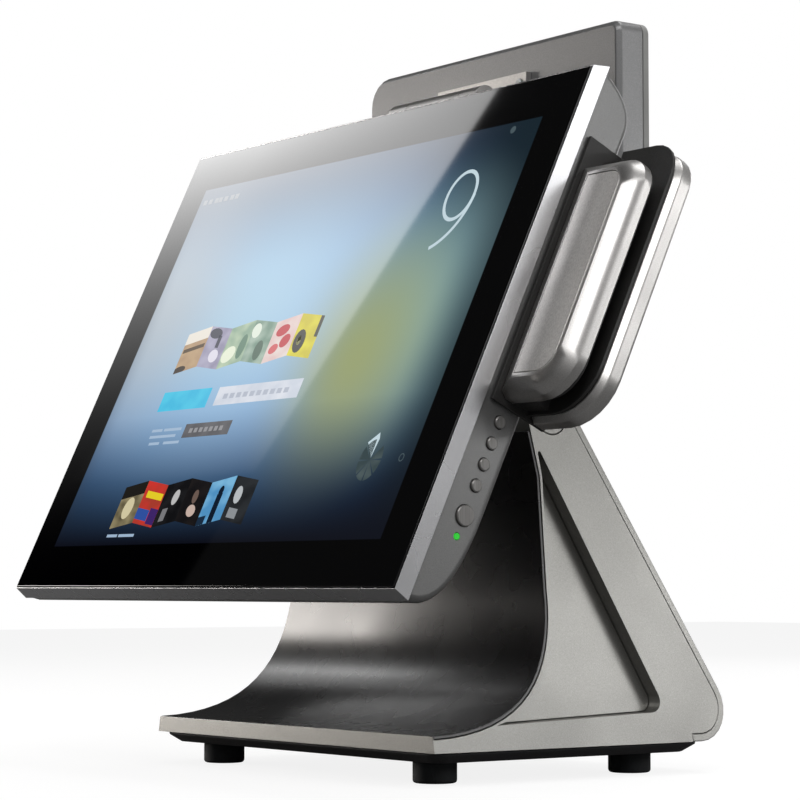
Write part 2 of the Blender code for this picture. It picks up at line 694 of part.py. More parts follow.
def customer_display(display, grey, trim, glass, dark, green):
    seam = DISPLAY_SEAM - GAP
    back = place("display_back_cover", slab_block(
        (DISPLAY_BACK, 2.5 * MM), (DISPLAY_BACK + 2.5 * MM, 0), (seam, 0)), grey, display)
    hollow = slab_block((DISPLAY_BACK + 2.6 * MM, SHELL), (DISPLAY_FRONT, SHELL))
    boolean(back, place("display_hollow", hollow, grey, display))
    front = DISPLAY_FRONT
    ledge = front - 2.6 * MM
    rim = ((DISPLAY_SEAM, 0), (front - 0.8 * MM, 0), (front, 0.8 * MM), (front, 5 * MM),
           (ledge, 5 * MM), (ledge, 9 * MM), (DISPLAY_SEAM, 9 * MM))
    place("display_bezel", loft([slab_loop(y, inset) for y, inset in rim], closed=True), trim, display)
    cover = slab_block((ledge + GAP, 5.3 * MM), (front - 0.2 * MM, 5.3 * MM))
    place("display_glass", cover, glass, display)
    low = DISPLAY_TOP - DISPLAY_HEIGHT
    lcd = block((-98 * MM, 204 * MM, low + 12 * MM), (98 * MM, ledge, DISPLAY_TOP - 12 * MM))
    place("display_lcd", lcd, dark, display, smooth=False)
    board = block((-60 * MM, 199 * MM, low + 30 * MM), (60 * MM, 200.6 * MM, low + 90 * MM))
    place("display_board", board, green, display, smooth=False)


def display_arm(display, material):
    """Two knuckles on the tilt pin, joined to a plate behind the display."""
    back = DISPLAY_BACK - GAP
    plate = block((-39 * MM, back - 3.5 * MM, 338 * MM), (39 * MM, back, 372 * MM))
    arm = place("display_arm", plate, material, display)
    for side, word in ((1, "right"), (-1, "left")):
        ends = sorted((side * 23.4 * MM, side * 39 * MM))
        knuckle = tube(*ends, PIN_RADIUS + GAP, BARREL_RADIUS)
        at = (0, BARREL_Y, BARREL_Z)
        boolean(arm, place("knuckle_" + word, knuckle, material, display, at), "UNION")
        link = block((ends[0], BARREL_Y + 5 * MM, BARREL_Z - 4 * MM),
                     (ends[1], back - 1 * MM, BARREL_Z + 4 * MM))
        boolean(arm, place("link_" + word, link, material, display), "UNION")


def display_bracket(panel, steel, material):
    """The plate on the head's back that carries the display's tilt pin."""
    back = HOUSING_DEPTH + GAP
    plate = block((-30 * MM, back, 215 * MM), (30 * MM, back + 3 * MM, 272 * MM))
    bracket = place("display_bracket", plate, material, panel)
    neck = block((-22 * MM, back, 271 * MM), (22 * MM, back + 3 * MM, BARREL.y - 4.5 * MM))
    boolean(bracket, place("bracket_neck", neck, material, panel), "UNION")
    knuckle = tube(-23 * MM, 23 * MM, PIN_RADIUS + GAP, BARREL_RADIUS)
    boolean(bracket, place("middle_knuckle", knuckle, material, panel, (0, *BARREL)), "UNION")
    pin = turned([(-41 * MM, PIN_RADIUS), (41 * MM, PIN_RADIUS)], 3 * ARC)
    place("display_pin", pin, steel, panel, (0, *BARREL))


# ---- assembly ------------------------------------------------------------------
def main():
    clear_scene()
    paint = finish("warm_grey_metallic_paint", (0.25, 0.245, 0.235), 0.38, 0.85)
    housing_grey = finish("dark_grey_metallic_paint", (0.12, 0.12, 0.12), 0.42, 0.8)
    gloss = finish("gloss_black_plastic", (0.012, 0.011, 0.012), 0.22, 0.0)
    matt = finish("matt_black_plastic", (0.03, 0.03, 0.032), 0.55, 0.0)
    rubber = finish("black_rubber", (0.012, 0.014, 0.015), 0.8, 0.0)
    silver = finish("satin_silver", (0.6, 0.59, 0.58), 0.3, 1.0)
    brushed = finish("brushed_aluminium", (0.55, 0.54, 0.53), 0.38, 1.0)
    steel = finish("zinc_plated_steel", (0.45, 0.45, 0.46), 0.4, 1.0)
    glass = finish("black_backed_glass", (0.01, 0.012, 0.016), 0.05, 0.0)
    board = finish("circuit_board", (0.02, 0.11, 0.05), 0.5, 0.0)
    lit = finish("green_lens", (0.05, 0.5, 0.06), 0.25, 0.0)
    trim = finish("light_grey_plastic", (0.32, 0.32, 0.33), 0.45, 0.0)

    stand = empty("stand", None, ORIGIN_SHIFT)
    stand_shell(stand, paint)
    for side, word in ((1, "right"), (-1, "left")):
        side_panel("side_panel_" + word, side, stand, paint)
    front_cover(stand, gloss)
    rear_cover(stand, paint)
    bottom_plate(stand, matt)
    feet(stand, rubber)
    stand_frame(stand, steel)
    stand_inside(stand, steel, matt)
    tilt_hinge(stand, steel, paint)

    head = empty("head_tilt", stand, (0, HINGE_Y, HINGE_Z), (-SCREEN_LEAN, 0, 0))
    panel = empty("panel", head, (0, -HINGE.x, -HINGE.y))
    touch_glass(panel, glass)
    front_bezel(panel, silver)
    rear_housing(panel, housing_grey)
    head_inside(panel, steel, matt, board, silver)
    connectors(panel, steel, matt)
    side_buttons(panel, brushed, lit)
    head_bracket(panel, steel, matt)
    card_reader(panel, silver, brushed, matt, steel)
    display_bracket(panel, steel, silver)

    barrel = empty("display_tilt", panel, (0, *BARREL), (SCREEN_LEAN, 0, 0))
    display = empty("display", barrel, (0, -BARREL_Y, -BARREL_Z))
    customer_display(display, housing_grey, trim, glass, matt, board)
    display_arm(display, silver)


main()
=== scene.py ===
"""Looks of a counter-top point-of-sale touch terminal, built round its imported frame.

The screen head leans back over a swept stand. Names follow the frame's own nodes.
Panel places are (across, depth behind the glass, height up the glass), in metres.
"""
import math

import bmesh
import bpy
from mathutils import Matrix, Vector


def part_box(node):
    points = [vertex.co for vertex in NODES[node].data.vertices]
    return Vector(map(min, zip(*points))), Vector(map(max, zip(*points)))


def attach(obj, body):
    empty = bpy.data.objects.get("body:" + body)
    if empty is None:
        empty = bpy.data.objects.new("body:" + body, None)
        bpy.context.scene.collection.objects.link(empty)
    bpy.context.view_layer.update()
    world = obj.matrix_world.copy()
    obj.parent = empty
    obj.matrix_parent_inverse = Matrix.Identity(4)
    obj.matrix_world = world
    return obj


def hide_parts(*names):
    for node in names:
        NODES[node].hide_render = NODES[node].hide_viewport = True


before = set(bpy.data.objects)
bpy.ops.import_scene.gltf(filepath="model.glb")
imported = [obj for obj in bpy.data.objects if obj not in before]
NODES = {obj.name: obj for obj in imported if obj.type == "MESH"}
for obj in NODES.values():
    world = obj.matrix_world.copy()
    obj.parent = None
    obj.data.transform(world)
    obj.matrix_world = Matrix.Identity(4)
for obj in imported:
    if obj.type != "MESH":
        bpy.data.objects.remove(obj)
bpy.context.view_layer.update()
MM = 0.001

# ---- where things are ----------------------------------------------------
LEAN = math.radians(25.335)         # the screen leans back this far from upright
GLASS_DEPTH = 3 * MM
GLASS_LOW, GLASS_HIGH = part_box("touch_glass")
GLASS_WIDTH = GLASS_HIGH.x - GLASS_LOW.x
GLASS_HEIGHT = (GLASS_HIGH.z - GLASS_LOW.z - GLASS_DEPTH * math.sin(LEAN)) / math.cos(LEAN)
MIDDLE_X = (GLASS_HIGH.x + GLASS_LOW.x) / 2
PANEL = (Matrix.Translation((MIDDLE_X, GLASS_LOW.y, GLASS_LOW.z + GLASS_DEPTH * math.sin(LEAN)))
         @ Matrix.Rotation(-LEAN, 4, "X"))
UPRIGHT = Matrix.Identity(4)                # the customer's glass stands upright


def on_glass(u, v, proud=0.0):
    """A point on the glass, from shares of its width and height."""
    return PANEL @ Vector(((u - 0.5) * GLASS_WIDTH, -proud, v * GLASS_HEIGHT))


# ---- material helpers ------------------------------------------------------
NOISE = "ShaderNodeTexNoise"
RANGE = "ShaderNodeMapRange"
MIX = "ShaderNodeMix"
MATHS = "ShaderNodeMath"
VECTOR = "ShaderNodeVectorMath"
BUMP = "ShaderNodeBump"
TURN = "ShaderNodeMapping"
OF_COLOURS = {"data_type": "RGBA"}          # a Mix node's sockets 6 and 7 are its colours, output 2 the blend
OF_NUMBERS = {"data_type": "FLOAT"}
TIMES = {"operation": "MULTIPLY"}
MIDDLE = {"From_Min": 0.3, "From_Max": 0.7}  # noise lies mostly between these


def linear(code):
    """An sRGB hex colour as linear RGBA."""
    channels = [int(code[k:k + 2], 16) / 255 for k in (1, 3, 5)]
    return (*[c / 12.92 if c <= 0.04045 else ((c + 0.055) / 1.055) ** 2.4 for c in channels], 1.0)


def wire(tree, node, **sockets):
    """Give a node's sockets values, or link them to another node or its output."""
    for key, value in sockets.items():
        name = key.replace("_", " ")
        socket = node.inputs[int(name[1:])] if name[1:].isdigit() else node.inputs[name]
        if isinstance(value, bpy.types.Node):
            value = value.outputs[0]
        if isinstance(value, bpy.types.NodeSocket):
            tree.links.new(value, socket)
        else:
            socket.default_value = value


def add(tree, kind, settings=None, **sockets):
    """Add a node with its settings, and wire its sockets."""
    made = tree.nodes.new(kind)
    for name, value in (settings or {}).items():
        setattr(made, name, value)
    wire(tree, made, **sockets)
    return made


def blank(name, **sockets):
    """A new material with its Principled shader, and its Object coordinates."""
    made = bpy.data.materials.new(name)
    made.use_nodes = True
    tree = made.node_tree
    shader = tree.nodes["Principled BSDF"]
    wire(tree, shader, **sockets)
    place = add(tree, "ShaderNodeTexCoord").outputs["Object"]
    return made, tree, shader, place


# ---- materials -------------------------------------------------------------
FLAKE = 0.3 * MM                    # paint flakes, coarser than real ones so that they show
CLOUD = 60 * MM                     # how far apart the paint film's thicker patches are


def metallic_paint(name, pale, dark, roughness):
    """Sprayed metallic paint: aluminium flakes glint, and the film has a faint orange peel."""
    made, tree, shader, place = blank(name, Metallic=0.7, Coat_Weight=0.25, Coat_Roughness=0.22)
    flakes = add(tree, NOISE, None, Vector=place, Scale=1 / FLAKE, Detail=1.0)
    cloud = add(tree, NOISE, None, Vector=place, Scale=1 / CLOUD, Detail=2.0)
    glint = add(tree, RANGE, None, Value=flakes, From_Min=0.38, From_Max=0.68)
    colour = add(tree, MIX, OF_COLOURS, i0=glint, i6=linear(dark), i7=linear(pale))
    rough = add(tree, RANGE, None, Value=cloud, **MIDDLE, To_Min=roughness - 0.03, To_Max=roughness + 0.04)
    peel = add(tree, BUMP, None, Height=flakes, Distance=0.04 * MM, Strength=0.35)
    wire(tree, shader, Base_Color=colour.outputs[2], Roughness=rough, Normal=peel)
    return made


def gloss_abs(name, code):
    """Polished black ABS: deep gloss, with a slight waviness and faint handling haze."""
    made, tree, shader, place = blank(name, Base_Color=linear(code), IOR=1.54, Coat_Weight=0.3,
                                      Coat_Roughness=0.25)
    haze = add(tree, NOISE, None, Vector=place, Scale=1 / (25 * MM), Detail=2.0)
    rough = add(tree, RANGE, None, Value=haze, **MIDDLE, To_Min=0.25, To_Max=0.3)
    waves = add(tree, NOISE, None, Vector=place, Scale=1 / (14 * MM), Detail=0.0)
    wavy = add(tree, BUMP, None, Height=waves, Distance=0.05 * MM, Strength=0.12)
    wire(tree, shader, Roughness=rough, Normal=wavy)
    return made


def textured_abs(name, pale, dark, spark=0.7 * MM):
    """Spark-eroded ABS: a fine even leathery grain that keeps it matt."""
    made, tree, shader, place = blank(name, IOR=1.54)
    fine = add(tree, NOISE, None, Vector=place, Scale=1 / spark, Detail=3.0)
    cloud = add(tree, NOISE, None, Vector=place, Scale=1 / (40 * MM), Detail=3.0)
    patch = add(tree, RANGE, None, Value=cloud, **MIDDLE)
    colour = add(tree, MIX, OF_COLOURS, i0=patch, i6=linear(dark), i7=linear(pale))
    rough = add(tree, RANGE, None, Value=fine, **MIDDLE, To_Min=0.46, To_Max=0.62)
    leather = add(tree, BUMP, None, Height=fine, Distance=0.06 * MM, Strength=0.5)
    wire(tree, shader, Base_Color=colour.outputs[2], Roughness=rough, Normal=leather)
    return made


def moulded_rubber(name):
    """Nitrile rubber: nearly black, dusty, with no gloss."""
    made, tree, shader, place = blank(name, IOR=1.52)
    dust = add(tree, NOISE, None, Vector=place, Scale=1 / (5 * MM), Detail=5.0)
    patch = add(tree, RANGE, None, Value=dust, **MIDDLE)
    colour = add(tree, MIX, OF_COLOURS, i0=patch, i6=linear("#101214"), i7=linear("#24272a"))
    rough = add(tree, RANGE, None, Value=dust, **MIDDLE, To_Min=0.72, To_Max=0.88)
    pores = add(tree, NOISE, None, Vector=place, Scale=1 / (0.9 * MM), Detail=2.0)
    pitted = add(tree, BUMP, None, Height=pores, Distance=0.08 * MM, Strength=0.5)
    wire(tree, shader, Base_Color=colour.outputs[2], Roughness=rough, Normal=pitted)
    return made


def blasted_aluminium(name, pale, dark, roughness):
    """Bead-blasted, anodised aluminium: an even silver with a soft, tight sparkle."""
    made, tree, shader, place = blank(name, Metallic=1.0)
    beads = add(tree, NOISE, None, Vector=place, Scale=1 / (0.45 * MM), Detail=2.0)
    glint = add(tree, RANGE, None, Value=beads, **MIDDLE)
    colour = add(tree, MIX, OF_COLOURS, i0=glint, i6=linear(dark), i7=linear(pale))
    cloud = add(tree, NOISE, None, Vector=place, Scale=1 / (30 * MM), Detail=2.0)
    rough = add(tree, RANGE, None, Value=cloud, **MIDDLE, To_Min=roughness - 0.03, To_Max=roughness + 0.03)
    dimples = add(tree, BUMP, None, Height=beads, Distance=0.02 * MM, Strength=0.12)
    wire(tree, shader, Base_Color=colour.outputs[2], Roughness=rough, Normal=dimples)
    return made


def brushed_aluminium(name, pale, dark):
    """Brushed up the panel: fine hairlines, drawn long along the brushing."""
    made, tree, shader, place = blank(name, Metallic=0.6, Anisotropic=0.5)
    along = add(tree, TURN, None, Vector=place, Rotation=(LEAN, 0, 0), Scale=(1, 1, 0.02))
    lines = add(tree, NOISE, None, Vector=along, Scale=1 / (0.5 * MM), Detail=2.0)
    glint = add(tree, RANGE, None, Value=lines, **MIDDLE)
    colour = add(tree, MIX, OF_COLOURS, i0=glint, i6=linear(dark), i7=linear(pale))
    rough = add(tree, RANGE, None, Value=lines, **MIDDLE, To_Min=0.3, To_Max=0.42)
    scored = add(tree, BUMP, None, Height=lines, Distance=0.02 * MM, Strength=0.4)
    wire(tree, shader, Base_Color=colour.outputs[2], Roughness=rough, Normal=scored)
    return made


def zinc_steel(name):
    """Zinc-plated steel: grey with a faint blue spangle and rolled scratches."""
    made, tree, shader, place = blank(name, Metallic=1.0)
    cells = add(tree, "ShaderNodeTexVoronoi", None, Vector=place, Scale=1 / (7 * MM)).outputs["Distance"]
    patch = add(tree, RANGE, None, Value=cells, From_Min=0.0, From_Max=0.8)
    colour = add(tree, MIX, OF_COLOURS, i0=patch, i6=linear("#a9adb3"), i7=linear("#c9cac8"))
    rolled = add(tree, TURN, None, Vector=place, Scale=(0.04, 1, 1))
    scratches = add(tree, NOISE, None, Vector=rolled, Scale=1 / (0.6 * MM), Detail=3.0)
    rough = add(tree, RANGE, None, Value=scratches, **MIDDLE, To_Min=0.32, To_Max=0.48)
    scored = add(tree, BUMP, None, Height=scratches, Distance=0.02 * MM, Strength=0.4)
    wire(tree, shader, Base_Color=colour.outputs[2], Roughness=rough, Normal=scored)
    return made


def solder_mask(name):
    """Fibreglass board under green solder mask, with paler copper tracks below."""
    made, tree, shader, place = blank(name, IOR=1.5, Coat_Weight=0.4, Coat_Roughness=0.2)
    tracks = add(tree, "ShaderNodeTexBrick", None, Vector=place, Scale=60.0, Color1=linear("#1c5a34"),
                 Color2=linear("#17502d"), Mortar=linear("#3b7f4c"), Mortar_Size=0.03)
    weave = add(tree, NOISE, None, Vector=place, Scale=1 / (6 * MM), Detail=2.0)
    rough = add(tree, RANGE, None, Value=weave, **MIDDLE, To_Min=0.35, To_Max=0.5)
    raised = add(tree, BUMP, None, Height=tracks.outputs["Fac"], Distance=0.05 * MM, Strength=0.4)
    wire(tree, shader, Base_Color=tracks.outputs["Color"], Roughness=rough, Normal=raised)
    return made


def inside_box(tree, across, up, left, right, low, high, soft):
    """1 inside a rectangle of the picture and 0 outside, with a soft edge."""
    parts = []
    for value, start, stop in ((across, left, right), (up, low, high)):
        half = (stop - start) / 2
        off = add(tree, MATHS, {"operation": "SUBTRACT"}, i0=value, i1=(start + stop) / 2)
        away = add(tree, MATHS, {"operation": "ABSOLUTE"}, i0=off)
        parts.append(add(tree, RANGE, None, Value=away, From_Min=half - soft, From_Max=half,
                         To_Min=1.0, To_Max=0.0))
    return add(tree, MATHS, TIMES, i0=parts[0], i1=parts[1])


def glow_spot(tree, picture, middle, size):
    """How near a point of the picture is to a soft round spot: 1 at its middle."""
    away = add(tree, VECTOR, {"operation": "SUBTRACT"}, i0=picture, i1=(*middle, 0))
    scaled = add(tree, VECTOR, {"operation": "DIVIDE"}, i0=away, i1=(*size, 1))
    far = add(tree, VECTOR, {"operation": "LENGTH"}, i0=scaled)
    return add(tree, RANGE, {"interpolation_type": "SMOOTHSTEP"}, Value=far.outputs["Value"],
               From_Min=0.0, From_Max=1.0, To_Min=1.0, To_Max=0.0)


# The wallpaper: soft spots of light painted over a dark night blue, in shares
# of the glass: (middle, reach, colour, strength).
WALLPAPER = (
    ((0.36, 0.50), (0.80, 0.66), "#5f93cc", 1.0),
    ((0.36, 0.58), (0.55, 0.46), "#a6c6da", 0.95),
    ((0.10, 0.62), (0.28, 0.40), "#b4bcc2", 0.85),
    ((0.30, 1.02), (0.85, 0.36), "#565b64", 0.95),
    ((0.94, 0.92), (0.30, 0.44), "#14232c", 1.0),
    ((0.80, 0.52), (0.26, 0.38), "#86a6a4", 0.95),
    ((0.70, 0.45), (0.24, 0.36), "#a0a66c", 0.85),
    ((0.96, 0.40), (0.14, 0.60), "#1e2a2c", 0.85),
    ((0.03, 0.40), (0.08, 0.70), "#4c5664", 0.5),
)
GREETING = (((0.5, 0.45), (0.8, 0.7), "#21486f"), ((0.3, 0.75), (0.5, 0.5), "#4f86ad"))
NIGHT_EDGE = (0.09, 0.37)                   # the wallpaper fades to night below these heights
PICTURE = (0.067, 0.933, 0.086, 0.912)      # the lit area, in shares of the glass
SHOWN = (0.05, 0.95, 0.08, 0.92)            # the same on the customer's glass
PRINT_EDGE = 0.002


def printed_glass(name, area, picture):
    """Toughened glass, black-printed behind its border, over a lit picture."""
    made, tree, shader, _ = blank(name, Base_Color=linear("#020203"), Roughness=0.03, IOR=1.52)
    share = add(tree, "ShaderNodeUVMap", {"uv_map": "glass"})
    split = add(tree, "ShaderNodeSeparateXYZ", None, Vector=share)
    lit = inside_box(tree, split.outputs[0], split.outputs[1], *area, PRINT_EDGE)
    colour = picture(tree, share)
    shown = add(tree, MIX, OF_COLOURS, i0=lit, i6=linear("#000000"), i7=colour)
    wire(tree, shader, Emission_Color=shown.outputs[2], Emission_Strength=1.0)
    return made


def cashier_picture(tree, share):
    """The till's wallpaper, darker towards its foot."""
    colour = linear("#0b1020")
    for middle, reach, code, strength in WALLPAPER:
        part = add(tree, MATHS, TIMES, i0=glow_spot(tree, share, middle, reach), i1=strength)
        colour = add(tree, MIX, OF_COLOURS, i0=part, i6=colour, i7=linear(code)).outputs[2]
    height = add(tree, "ShaderNodeSeparateXYZ", None, Vector=share).outputs[1]
    dusk = add(tree, RANGE, None, Value=height, From_Min=NIGHT_EDGE[0], From_Max=NIGHT_EDGE[1])
    return add(tree, MIX, OF_COLOURS, i0=dusk, i6=linear("#0d101a"), i7=colour).outputs[2]


def customer_picture(tree, share):
    """Two soft blue spots behind the price."""
    colour = linear("#0d1826")
    for middle, reach, code in GREETING:
        near = glow_spot(tree, share, middle, reach)
        colour = add(tree, MIX, OF_COLOURS, i0=near, i6=colour, i7=linear(code)).outputs[2]
    return colour


def screen_ink(name, code, second=None):
    """A lit detail of the picture, seen through the same glass, perhaps clouded with a second colour."""
    made, tree, shader, _ = blank(name, Base_Color=linear("#020203"), Roughness=0.03, IOR=1.52,
                                  Emission_Strength=1.0, Emission_Color=linear(code))
    if second:
        share = add(tree, "ShaderNodeUVMap", {"uv_map": "glass"})
        split = add(tree, "ShaderNodeSeparateXYZ", None, Vector=share)
        cloud = add(tree, NOISE, None, Vector=share, Scale=30.0, Detail=1.0)
        ramp = add(tree, MATHS, {"operation": "MULTIPLY_ADD"}, i0=split.outputs[0], i1=0.2, i2=cloud)
        patch = add(tree, RANGE, None, Value=ramp, From_Min=0.42, From_Max=0.72)
        mixed = add(tree, MIX, OF_COLOURS, i0=patch, i6=linear(code), i7=linear(second))
        wire(tree, shader, Emission_Color=mixed.outputs[2])
    return made


def led_lens(name):
    """A clear green lens with a lit chip behind it."""
    made, tree, shader, place = blank(name, Base_Color=linear("#1c7a22"), Roughness=0.18, IOR=1.49,
                                      Emission_Color=linear("#2fc636"), Emission_Strength=0.8)
    ripple = add(tree, NOISE, None, Vector=place, Scale=1 / (1.2 * MM), Detail=2.0)
    wavy = add(tree, BUMP, None, Height=ripple, Distance=0.02 * MM, Strength=0.2)
    wire(tree, shader, Normal=wavy)
    return made


# ---- mesh helpers ------------------------------------------------------------
MERGE = 0.002 * MM                          # triangle corners closer than this are one point
FLAT = math.radians(0.6)                    # faces that turn less than this are one flat face
SHARP = math.radians(38)                    # edges that turn more than this are rounded off
SCREW_SHARP = math.radians(35)


def finish_piece(piece, material, body, replaced=()):
    """Give a piece its material and body, and hide the frame nodes it stands for."""
    piece.data.materials.clear()
    piece.data.materials.append(material)
    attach(piece, body)
    if replaced:
        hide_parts(*replaced)
    return piece


def placed(name, data):
    """A new object in the scene."""
    made = bpy.data.objects.new(name, data)
    bpy.context.scene.collection.objects.link(made)
    return made


def from_bmesh(name, bm):
    """A new object whose place is in its mesh."""
    mesh = bpy.data.meshes.new(name)
    bm.to_mesh(mesh)
    bm.free()
    return placed(name, mesh)


def baked(piece, name):
    """The piece with its modifiers applied, as a plain new object."""
    bpy.context.view_layer.update()
    graph = bpy.context.evaluated_depsgraph_get()
    mesh = bpy.data.meshes.new_from_object(piece.evaluated_get(graph), depsgraph=graph)
    mesh.name = name
    bpy.data.objects.remove(piece, do_unlink=True)
    return placed(name, mesh)


def merged_copy(node):
    """A bmesh copy of a frame node with its loose triangles merged into flat faces."""
    bm = bmesh.new()
    bm.from_mesh(NODES[node].data)
    bmesh.ops.remove_doubles(bm, verts=bm.verts, dist=MERGE)
    bmesh.ops.dissolve_limit(bm, angle_limit=FLAT, verts=bm.verts, edges=bm.edges)
    return bm


def softened(node, radius, segments=3):
    """A frame node's own shape with its sharp edges rounded, as a moulding's are."""
    piece = from_bmesh(node + "_edged", merged_copy(node))
    for kept in ("custom_normal", "sharp_edge", "sharp_face"):
        if kept in piece.data.attributes:
            piece.data.attributes.remove(piece.data.attributes[kept])
    piece.data.shade_smooth()
    round_off = piece.modifiers.new("round_off", "BEVEL")
    round_off.width = radius
    round_off.segments = segments
    round_off.limit_method = "ANGLE"
    round_off.angle_limit = SHARP
    round_off.miter_outer = "MITER_ARC"
    even = piece.modifiers.new("even_normals", "WEIGHTED_NORMAL")
    even.weight = 100
    even.keep_sharp = True
    return baked(piece, node + "_fine")


def uv_on_glass(piece, low, size, place):
    """Write each point's share of the glass's width and height as a UV map."""
    layer = piece.data.uv_layers.new(name="glass")
    back = place.inverted()
    for loop in piece.data.loops:
        point = back @ piece.data.vertices[loop.vertex_index].co
        layer.data[loop.index].uv = ((point.x - low[0]) / size[0], (point.z - low[1]) / size[1])


# ---- Geometry Nodes ----------------------------------------------------------
SCREW_RADIUS = 2.6 * MM
SCREW_HEIGHT = 0.5                          # the rest are shares of the head's radius
SCREW_CROWN = 0.72
RECESS_LENGTH = 1.1
RECESS_WIDTH = 0.7 * MM


def screw_tree(material):
    """A pan-head screw with a cross recess on every point of the piece, facing its Facing input."""
    tree = bpy.data.node_groups.new("pan_head_screws", "GeometryNodeTree")
    face = tree.interface
    face.new_socket("Geometry", in_out="INPUT", socket_type="NodeSocketGeometry")
    for name, value in (("Head Radius", SCREW_RADIUS), ("Head Height", SCREW_RADIUS * SCREW_HEIGHT),
                        ("Recess", RECESS_WIDTH)):
        face.new_socket(name, in_out="INPUT", socket_type="NodeSocketFloat").default_value = value
    face.new_socket("Facing", in_out="INPUT", socket_type="NodeSocketVector").default_value = (0, 0, 1)
    face.new_socket("Geometry", in_out="OUTPUT", socket_type="NodeSocketGeometry")
    given = add(tree, "NodeGroupInput").outputs
    crown = add(tree, MATHS, TIMES, i0=given["Head Radius"], i1=SCREW_CROWN)
    head = add(tree, "GeometryNodeMeshCone", None, Vertices=28, Side_Segments=3,
               Radius_Top=crown, Radius_Bottom=given["Head Radius"], Depth=given["Head Height"])
    length = add(tree, MATHS, TIMES, i0=given["Head Radius"], i1=RECESS_LENGTH)
    arms = []
    for along in (0, 1):
        size = add(tree, "ShaderNodeCombineXYZ", None, i2=given["Recess"])
        wire(tree, size, **{f"i{along}": length, f"i{1 - along}": RECESS_WIDTH})
        cube = add(tree, "GeometryNodeMeshCube", None, Size=size)
        lift = add(tree, "ShaderNodeCombineXYZ", None, Z=given["Head Height"])
        arms.append(add(tree, "GeometryNodeTransform", None, Geometry=cube, Translation=lift))
    cut = add(tree, "GeometryNodeMeshBoolean", {"operation": "DIFFERENCE", "solver": "EXACT"}, Mesh_1=head)
    for arm in arms:
        wire(tree, cut, Mesh_2=arm)
    turn = add(tree, "FunctionNodeAlignRotationToVector", {"axis": "Z"}, Vector=given["Facing"])
    spots = add(tree, "GeometryNodeInstanceOnPoints", None, Points=given["Geometry"],
                Instance=cut, Rotation=turn)
    solid = add(tree, "GeometryNodeRealizeInstances", None, Geometry=spots)
    dressed = add(tree, "GeometryNodeSetMaterial", None, Geometry=solid, Material=material)
    add(tree, "NodeGroupOutput", None, i0=dressed)
    return tree


def screws(name, tree, points, facing, body, material, radius=SCREW_RADIUS):
    """Screws at these points, made by the screw tree and kept as one plain mesh."""
    mesh = bpy.data.meshes.new(name + "_points")
    mesh.from_pydata(points, [], [])
    piece = placed(name + "_points", mesh)
    scatter = piece.modifiers.new("screws", "NODES")
    scatter.node_group = tree
    sockets = {item.name: item.identifier for item in tree.interface.items_tree
               if item.in_out == "INPUT"}
    scatter[sockets["Head Radius"]] = radius
    scatter[sockets["Head Height"]] = radius * SCREW_HEIGHT
    scatter[sockets["Facing"]] = facing
    made = baked(piece, name)
    made.data.shade_smooth()
    made.data.set_sharp_from_angle(angle=SCREW_SHARP)
    return finish_piece(made, material, body)


# ---- lit details of the picture ----------------------------------------------
INK = 0.03 * MM                             # how far a lit detail stands off the glass
OVER = 0.06 * MM                            # and one drawn over another


def ink_polygons(name, polygons, material, proud=INK):
    """Flat lit shapes on the glass, each given as points in shares of it."""
    bm = bmesh.new()
    for points in polygons:
        bm.faces.new([bm.verts.new(on_glass(u, v, proud)) for u, v in points])
    bmesh.ops.recalc_face_normals(bm, faces=bm.faces)
    piece = from_bmesh(name, bm)
    uv_on_glass(piece, (-GLASS_WIDTH / 2, 0), (GLASS_WIDTH, GLASS_HEIGHT), PANEL)
    return finish_piece(piece, material, "head")


def ribbon(points, width):
    """Quads along a stroke of the given width, in shares of the glass's width."""
    tall = GLASS_WIDTH / GLASS_HEIGHT
    flat = [Vector((u, v / tall)) for u, v in points]
    edges = []
    for k, point in enumerate(flat):
        along = (flat[min(k + 1, len(flat) - 1)] - flat[max(k - 1, 0)]).normalized()
        side = Vector((-along.y, along.x)) * width / 2
        edges.append((point + side, point - side))
    quads = []
    for (a, b), (c, d) in zip(edges, edges[1:]):
        quads.append([(p.x, p.y * tall) for p in (a, b, d, c)])
    return quads


def arc_points(middle, reach, start, stop, steps):
    """Points round an ellipse, angles in degrees."""
    angles = [math.radians(start + (stop - start) * k / steps) for k in range(steps + 1)]
    return [(middle[0] + reach[0] * math.cos(a), middle[1] + reach[1] * math.sin(a)) for a in angles]


def folded_strip(prefix, left, right, low, high, fold, tiles):
    """A row of picture tiles standing in a zig-zag, so their edges rise and fall.

    Each tile is (first colour, second colour, marks); a mark is (colour, kind, four numbers)
    in shares of the tile: a bar's left, low, right, high or a disc's middle and reach.
    """
    step = (right - left) / len(tiles)
    marks = {}
    for k, (first, second, drawn) in enumerate(tiles):
        start = left + step * k
        rise = (fold, 0) if k % 2 else (0, fold)

        def spot(x, y):
            x, y = min(max(x, 0.0), 1.0), min(max(y, 0.0), 1.0)
            return start + step * x, low + (high - low) * y + rise[0] * (1 - x) + rise[1] * x

        corners = [spot(0, 0), spot(1, 0), spot(1, 1), spot(0, 1)]
        ink_polygons(f"{prefix}_{k + 1}", [corners], screen_ink(f"{prefix}_{k + 1}_light", first, second))
        for colour, kind, *size in drawn:
            if kind == "bar":
                x0, y0, x1, y1 = size
                shape = [spot(x0, y0), spot(x1, y0), spot(x1, y1), spot(x0, y1)]
            else:
                shape = [spot(x, y) for x, y in arc_points(size[:2], size[2:], 0, 337.5, 15)]
            marks.setdefault(colour, []).append(shape)
    for k, (colour, shapes) in enumerate(marks.items()):
        ink_polygons(f"{prefix}_marks_{k + 1}", shapes, screen_ink(f"{prefix}_mark_{k + 1}_light", colour),
                     OVER)


